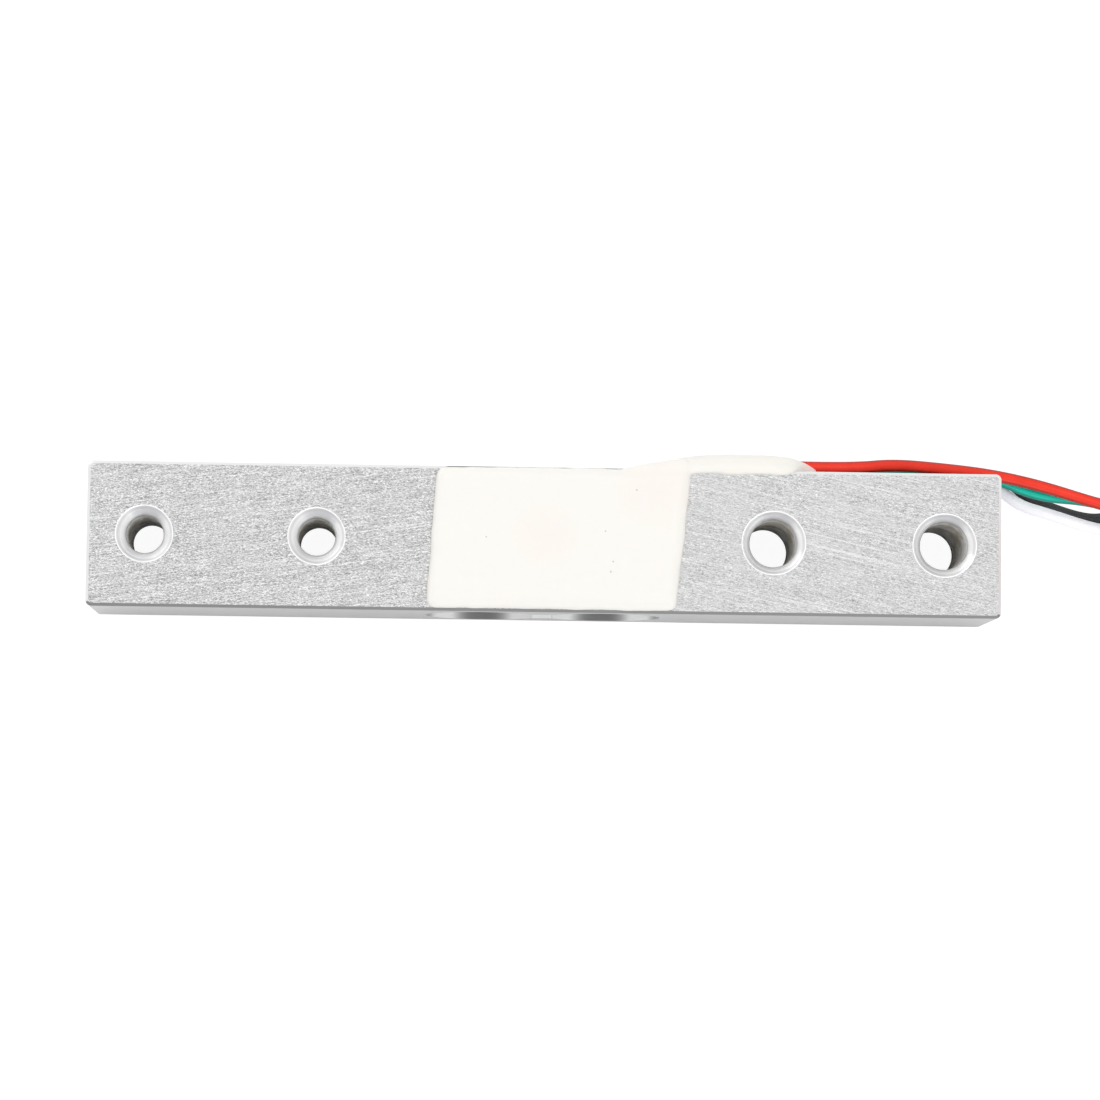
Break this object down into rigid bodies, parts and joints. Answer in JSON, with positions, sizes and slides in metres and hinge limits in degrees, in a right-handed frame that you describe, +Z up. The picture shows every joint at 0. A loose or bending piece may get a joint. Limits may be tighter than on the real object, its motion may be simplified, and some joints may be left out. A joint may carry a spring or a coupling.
{
  "type": "strain gauge load cell",
  "caption": "Single-point aluminium bar load cell with a binocular cut-out, tapped ends, silicone-coated strain gauges and bare-ended leads.",
  "frame": {"origin": "under the middle of the bar, on the surface that the lower silicone coat rests on", "axes": "+X along the bar towards the end where the leads leave, +Y towards the side face with the lead bead, +Z up along the tapped holes"},
  "size_m": [0.1236, 0.0166, 0.0143],
  "materials": {
    "bar_aluminium": "brushed by hand with fine crossing scratches",
    "gauge_polyimide": "amber film",
    "gauge_foil": "etched foil",
    "terminal_laminate": "bonded laminate",
    "pad_copper": "tinned copper pads",
    "solder": "bright solder",
    "enamelled_copper": "enamelled",
    "tinned_copper": "tinned strands",
    "white_silicone": "smooth cured silicone",
    "red_insulation": "smooth, slightly glossy",
    "green_insulation": "smooth, slightly glossy",
    "black_insulation": "smooth, slightly glossy",
    "white_insulation": "smooth, slightly glossy",
    "tie_plastic": "soft plastic band"
  },
  "bodies": {
    "root": {"beam": "bar_aluminium", "black_lead": "black_insulation", "black_lead_conductor": "tinned_copper", "black_lead_hank": "black_insulation", "black_lead_potted": "black_insulation", "black_lead_tinned_end": "tinned_copper", "green_lead": "green_insulation", "green_lead_conductor": "tinned_copper", "green_lead_hank": "green_insulation", "green_lead_potted": "green_insulation", "green_lead_tinned_end": "tinned_copper", "hank_tie": "tie_plastic", "lower_cable_end_gauge_backing": "gauge_polyimide", "lower_cable_end_gauge_grid": "gauge_foil", "lower_gauge_wires": "enamelled_copper", "lower_load_end_gauge_backing": "gauge_polyimide", "lower_load_end_gauge_grid": "gauge_foil", "lower_silicone_coat": "white_silicone", "lower_solder_joints": "solder", "lower_terminal_pads": "pad_copper", "lower_terminal_strip": "terminal_laminate", "negative_jumper": "enamelled_copper", "positive_jumper": "enamelled_copper", "red_lead": "red_insulation", "red_lead_conductor": "tinned_copper", "red_lead_hank": "red_insulation", "red_lead_potted": "red_insulation", "red_lead_tinned_end": "tinned_copper", "side_silicone_bead": "white_silicone", "upper_cable_end_gauge_backing": "gauge_polyimide", "upper_cable_end_gauge_grid": "gauge_foil", "upper_gauge_wires": "enamelled_copper", "upper_load_end_gauge_backing": "gauge_polyimide", "upper_load_end_gauge_grid": "gauge_foil", "upper_silicone_coat": "white_silicone", "upper_solder_joints": "solder", "upper_terminal_pads": "pad_copper", "upper_terminal_strip": "terminal_laminate", "white_lead": "white_insulation", "white_lead_conductor": "tinned_copper", "white_lead_hank": "white_insulation", "white_lead_potted": "white_insulation", "white_lead_tinned_end": "tinned_copper"}
  },
  "joints": []
}
